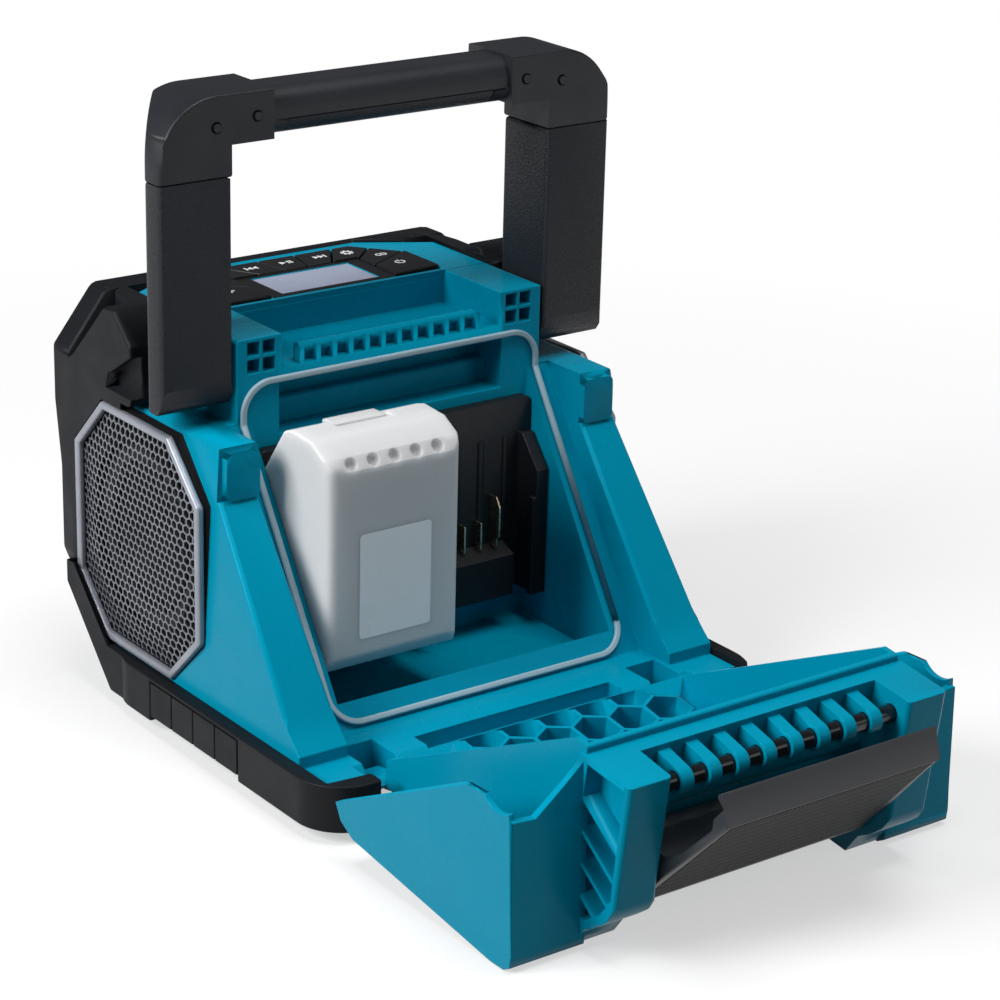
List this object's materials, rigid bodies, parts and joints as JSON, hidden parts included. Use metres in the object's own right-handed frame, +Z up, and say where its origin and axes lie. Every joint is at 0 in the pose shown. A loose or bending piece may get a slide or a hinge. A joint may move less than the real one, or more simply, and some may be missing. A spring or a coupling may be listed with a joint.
{
  "type": "job-site speaker",
  "caption": "Rugged portable speaker with a carrying handle, side and front grilles, a top key panel and a rear battery bay whose latched door swings open.",
  "frame": {"origin": "on the ground under the sole, below the middle of the bay's back wall", "axes": "+Y towards the speaker's front grille, +Z up, +X to the right seen from behind"},
  "size_m": [0.256, 0.4401, 0.3105],
  "materials": {
    "teal_plastic": "satin moulded",
    "black_plastic": "fine leather grain",
    "black_rubber": "matt",
    "ring_grey": "silver paint",
    "mesh_grey": "dark powder coat",
    "basket_steel": "black paint",
    "cone_black": "matt",
    "seal_grey": "matt",
    "key_black": "matt",
    "lcd_grey": "clear over grey",
    "circuit_green": "solder mask",
    "pack_grey": "satin",
    "contact_brass": "bright",
    "pin_steel": "ground",
    "rod_black": "polished"
  },
  "bodies": {
    "body": {"rear_housing": "teal_plastic", "front_baffle": "black_plastic", "front_frame": "black_rubber", "front_grille": "mesh_grey", "base_bumper": "black_rubber", "rubber_sole": "black_rubber", "ring_left": "ring_grey", "ring_right": "ring_grey", "mesh_left": "mesh_grey", "mesh_right": "mesh_grey", "driver_left": "basket_steel", "driver_right": "basket_steel", "surround_left": "black_rubber", "surround_right": "black_rubber", "woofer_basket": "basket_steel", "woofer_surround": "black_rubber", "top_panel": "teal_plastic", "lcd_lens": "lcd_grey", "lcd_module": "circuit_green", "key_board": "circuit_green", "bay_seal": "seal_grey", "terminal_left": "black_plastic", "terminal_right": "black_plastic", "blades_left": "contact_brass", "blades_right": "contact_brass", "hinge_pins": "pin_steel", "pivot_pins": "pin_steel", "main_board": "circuit_green", "port_sockets": "pin_steel"},
    "door": {"door_shell": "teal_plastic", "latch_rod": "rod_black", "latch_pins": "pin_steel"},
    "latch": {"latch_lever": "black_plastic", "latch_pad": "black_rubber"},
    "battery": {"battery_case": "pack_grey", "battery_cover": "pack_grey"},
    "release": {"battery_button": "pack_grey"},
    "handle": {"post_left": "black_plastic", "post_right": "black_plastic", "handle_grip": "black_rubber", "grip_insert": "black_plastic", "handle_plugs": "black_rubber"},
    "key_plus": {"key_plus": "key_black"},
    "key_minus": {"key_minus": "key_black"},
    "key_light": {"key_light": "key_black"},
    "key_prev": {"key_prev": "key_black"},
    "key_play": {"key_play": "key_black"},
    "key_next": {"key_next": "key_black"},
    "key_mode": {"key_mode": "key_black"},
    "key_pair": {"key_pair": "key_black"},
    "key_power": {"key_power": "key_black"},
    "cap_power": {"cap_power": "black_rubber"},
    "cap_aux": {"cap_aux": "black_rubber"},
    "cap_usb_a": {"cap_usb_a": "black_rubber"},
    "cap_usb_c": {"cap_usb_c": "black_rubber"},
    "cone_left": {"cone_left": "cone_black"},
    "cone_right": {"cone_right": "cone_black"},
    "woofer_cone": {"woofer_cone": "cone_black"}
  },
  "joints": [
    {"name": "door_hinge", "type": "hinge", "parent": "body", "child": "door", "pos_m": [0, -0.104, 0.011], "axis": [1, 0, 0], "range_deg": [-97, 0]},
    {"name": "latch_pivot", "type": "hinge", "parent": "door", "child": "latch", "pos_m": [0, -0.27149, 0.04585], "axis": [1, 0, 0], "range_deg": [-35.5, 4]},
    {"name": "handle_fold", "type": "hinge", "parent": "body", "child": "handle", "pos_m": [0, 0.018, 0.176], "axis": [1, 0, 0], "range_deg": [0, 70]},
    {"name": "battery_slide", "type": "slide", "parent": "body", "child": "battery", "axis": [0, 0, 1], "range_m": [0, 0.1]},
    {"name": "release_press", "type": "slide", "parent": "battery", "child": "release", "axis": [0, -1, 0], "range_m": [0, 0.003], "stiffness_N_per_m": 400},
    {"name": "key_plus_press", "type": "slide", "parent": "body", "child": "key_plus", "axis": [0, 0, -1], "range_m": [0, 0.001], "stiffness_N_per_m": 500},
    {"name": "key_minus_press", "type": "slide", "parent": "body", "child": "key_minus", "axis": [0, 0, -1], "range_m": [0, 0.001], "stiffness_N_per_m": 500},
    {"name": "key_light_press", "type": "slide", "parent": "body", "child": "key_light", "axis": [0, 0, -1], "range_m": [0, 0.001], "stiffness_N_per_m": 500},
    {"name": "key_prev_press", "type": "slide", "parent": "body", "child": "key_prev", "axis": [0, 0, -1], "range_m": [0, 0.001], "stiffness_N_per_m": 500},
    {"name": "key_play_press", "type": "slide", "parent": "body", "child": "key_play", "axis": [0, 0, -1], "range_m": [0, 0.001], "stiffness_N_per_m": 500},
    {"name": "key_next_press", "type": "slide", "parent": "body", "child": "key_next", "axis": [0, 0, -1], "range_m": [0, 0.001], "stiffness_N_per_m": 500},
    {"name": "key_mode_press", "type": "slide", "parent": "body", "child": "key_mode", "axis": [0, 0, -1], "range_m": [0, 0.001], "stiffness_N_per_m": 500},
    {"name": "key_pair_press", "type": "slide", "parent": "body", "child": "key_pair", "axis": [0, 0, -1], "range_m": [0, 0.001], "stiffness_N_per_m": 500},
    {"name": "key_power_press", "type": "slide", "parent": "body", "child": "key_power", "axis": [0, 0, -1], "range_m": [0, 0.001], "stiffness_N_per_m": 500},
    {"name": "cap_power_hinge", "type": "hinge", "parent": "body", "child": "cap_power", "pos_m": [-0.1274, 0.0055, 0.0096], "axis": [0, -1, 0], "range_deg": [0, 90]},
    {"name": "cap_aux_hinge", "type": "hinge", "parent": "body", "child": "cap_aux", "pos_m": [-0.1274, -0.0141, 0.0096], "axis": [0, -1, 0], "range_deg": [0, 90]},
    {"name": "cap_usb_a_hinge", "type": "hinge", "parent": "body", "child": "cap_usb_a", "pos_m": [-0.1274, -0.0337, 0.0096], "axis": [0, -1, 0], "range_deg": [0, 90]},
    {"name": "cap_usb_c_hinge", "type": "hinge", "parent": "body", "child": "cap_usb_c", "pos_m": [-0.1274, -0.0533, 0.0096], "axis": [0, -1, 0], "range_deg": [0, 90]},
    {"name": "cone_left_drive", "type": "slide", "parent": "body", "child": "cone_left", "axis": [-1, 0, 0], "range_m": [-0.002, 0.002], "stiffness_N_per_m": 1500},
    {"name": "cone_right_drive", "type": "slide", "parent": "body", "child": "cone_right", "axis": [1, 0, 0], "range_m": [-0.002, 0.002], "stiffness_N_per_m": 1500},
    {"name": "woofer_cone_drive", "type": "slide", "parent": "body", "child": "woofer_cone", "axis": [0, 1, 0], "range_m": [-0.003, 0.003], "stiffness_N_per_m": 1500}
  ]
}
